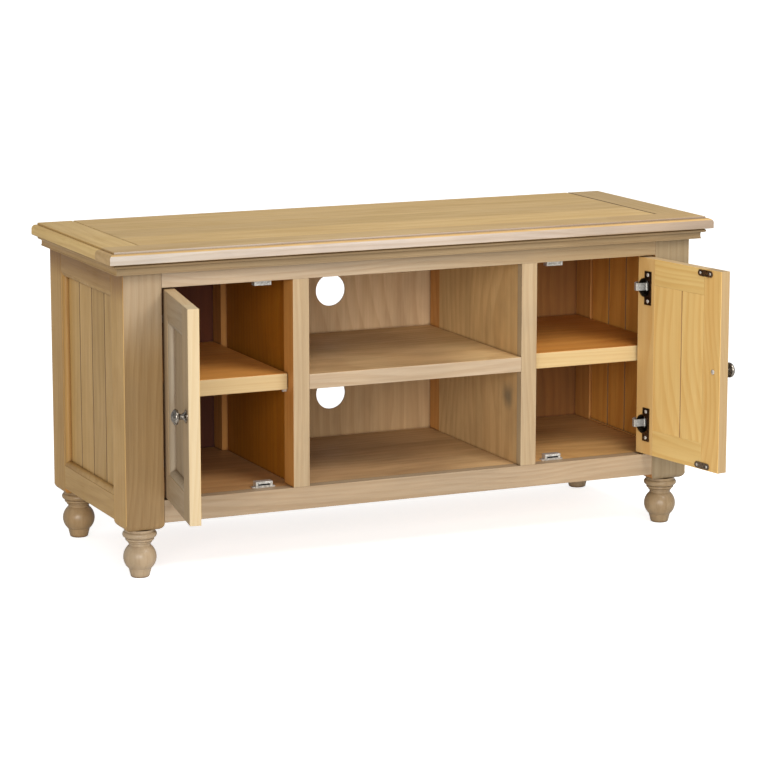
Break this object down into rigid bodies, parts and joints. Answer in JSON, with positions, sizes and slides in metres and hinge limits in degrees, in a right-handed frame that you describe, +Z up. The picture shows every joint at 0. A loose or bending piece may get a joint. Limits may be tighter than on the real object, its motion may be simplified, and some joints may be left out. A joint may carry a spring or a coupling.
{
  "type": "media cabinet",
  "caption": "Low wooden media cabinet with an open middle bay, a panelled door at each side, adjustable shelves, a moulded top and turned feet.",
  "frame": {"origin": "on the floor, under the middle of the whole object with its doors open as stored", "axes": "+X along the front to the right as seen from the front, +Y from front to back, +Z up"},
  "size_m": [1.22, 0.6438, 0.605],
  "materials": {
    "case_stain": "weathered light brown stain over open grain, satin",
    "inner_stain": "the same stain inside the bays, darker and more orange",
    "natural_pine": "clear coated yellow pine, satin",
    "dark_bronze": "dark bronze plate, semi-gloss",
    "bright_steel": "zinc plated steel, worn satin",
    "pewter": "antique pewter, polished on the high places"
  },
  "bodies": {
    "cabinet": {"top_field": "case_stain", "top_front_rail": "case_stain", "top_left_end": "case_stain", "top_right_end": "case_stain", "crown_front": "case_stain", "crown_left": "case_stain", "crown_right": "case_stain", "front_left_post": "case_stain", "front_right_post": "case_stain", "back_left_post": "case_stain", "back_right_post": "case_stain", "front_top_rail": "case_stain", "front_bottom_rail": "case_stain", "left_mid_stile": "case_stain", "right_mid_stile": "case_stain", "left_partition": "inner_stain", "right_partition": "inner_stain", "partition_back_stiles": "inner_stain", "left_side_rails": "case_stain", "right_side_rails": "case_stain", "left_side_planks": "case_stain", "right_side_planks": "case_stain", "left_side_moulding": "case_stain", "right_side_moulding": "case_stain", "bottom_deck": "inner_stain", "middle_shelf": "case_stain", "left_shelf": "natural_pine", "right_shelf": "natural_pine", "shelf_pins": "bright_steel", "back_panel": "inner_stain", "back_rails": "inner_stain", "front_left_foot": "case_stain", "front_right_foot": "case_stain", "back_left_foot": "case_stain", "back_right_foot": "case_stain", "foot_bolts": "bright_steel", "catch_housings": "bright_steel", "catch_magnets": "pewter", "left_hinge_arms": "bright_steel", "right_hinge_arms": "bright_steel", "hinge_pins": "bright_steel", "hinge_arm_screws": "bright_steel"},
    "left_door": {"left_door_hinge_stile": "natural_pine", "left_door_free_stile": "natural_pine", "left_door_rails": "natural_pine", "left_door_planks": "natural_pine", "left_door_moulding": "case_stain", "left_door_knob": "pewter", "left_door_hinge_cups": "dark_bronze", "left_door_strikes": "bright_steel", "left_door_screws": "bright_steel"},
    "right_door": {"right_door_hinge_stile": "natural_pine", "right_door_free_stile": "natural_pine", "right_door_rails": "natural_pine", "right_door_planks": "natural_pine", "right_door_moulding": "case_stain", "right_door_knob": "pewter", "right_door_hinge_cups": "dark_bronze", "right_door_strikes": "bright_steel", "right_door_screws": "bright_steel"}
  },
  "joints": [
    {"name": "left_door_hinge", "type": "hinge", "parent": "cabinet", "child": "left_door", "pos_m": [-0.489, -0.08605, 0.339], "axis": [0, 0, 1], "range_deg": [-3.5, 100]},
    {"name": "right_door_hinge", "type": "hinge", "parent": "cabinet", "child": "right_door", "pos_m": [0.489, -0.08605, 0.339], "axis": [0, 0, -1], "range_deg": [-4, 99.5]}
  ]
}
